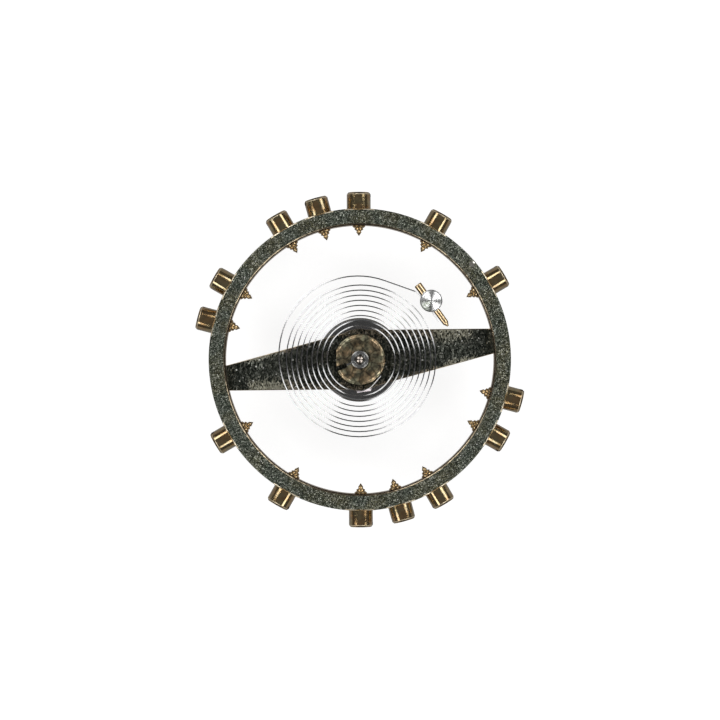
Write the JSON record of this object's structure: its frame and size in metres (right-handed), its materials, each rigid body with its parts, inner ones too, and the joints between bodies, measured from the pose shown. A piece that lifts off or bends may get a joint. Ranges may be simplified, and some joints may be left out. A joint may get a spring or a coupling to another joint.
{
  "type": "balance wheel",
  "caption": "Watch balance wheel with an uncut rim, tapered arms, rim screws, staff, double roller with impulse jewel, and a flat hairspring pinned to its stud.",
  "frame": {"origin": "tip of the lower pivot, on the staff's axis", "axes": "+Z up the staff toward the hairspring and the upper pivot; +Y is up in the picture, 0.4 degrees clockwise of the uppermost screw, and the arms run 8 degrees counterclockwise of X"},
  "size_m": [0.011, 0.0112, 0.0034],
  "materials": {
    "wheel_alloy": "satin, fine grained",
    "screw_brass": "polished",
    "collet_brass": "turned",
    "pin_brass": "drawn",
    "polished_steel": "polished",
    "roller_steel": "polished",
    "spring_steel": "bright",
    "ruby": "polished"
  },
  "bodies": {
    "stud": {"hairspring_stud": "polished_steel", "stud_pin": "pin_brass"},
    "balance": {"balance_wheel": "wheel_alloy", "balance_staff": "polished_steel", "double_roller": "roller_steel", "impulse_jewel": "ruby", "hairspring_collet": "collet_brass", "collet_pin": "pin_brass", "hairspring": "spring_steel", "balance_screw_01": "screw_brass", "balance_screw_02": "screw_brass", "balance_screw_03": "screw_brass", "balance_screw_04": "screw_brass", "balance_screw_05": "screw_brass", "balance_screw_06": "screw_brass", "balance_screw_07": "screw_brass", "balance_screw_08": "screw_brass", "balance_screw_09": "screw_brass", "balance_screw_10": "screw_brass", "balance_screw_11": "screw_brass", "balance_screw_12": "screw_brass", "balance_screw_13": "screw_brass", "balance_screw_14": "screw_brass"}
  },
  "joints": [
    {"name": "balance_swing", "type": "hinge", "parent": "stud", "child": "balance", "pos_m": [0, 0, 0], "axis": [0, 0, 1], "range_deg": [-300, 300], "stiffness_Nm_per_rad": 0.00000081, "deforming": ["hairspring"]}
  ]
}
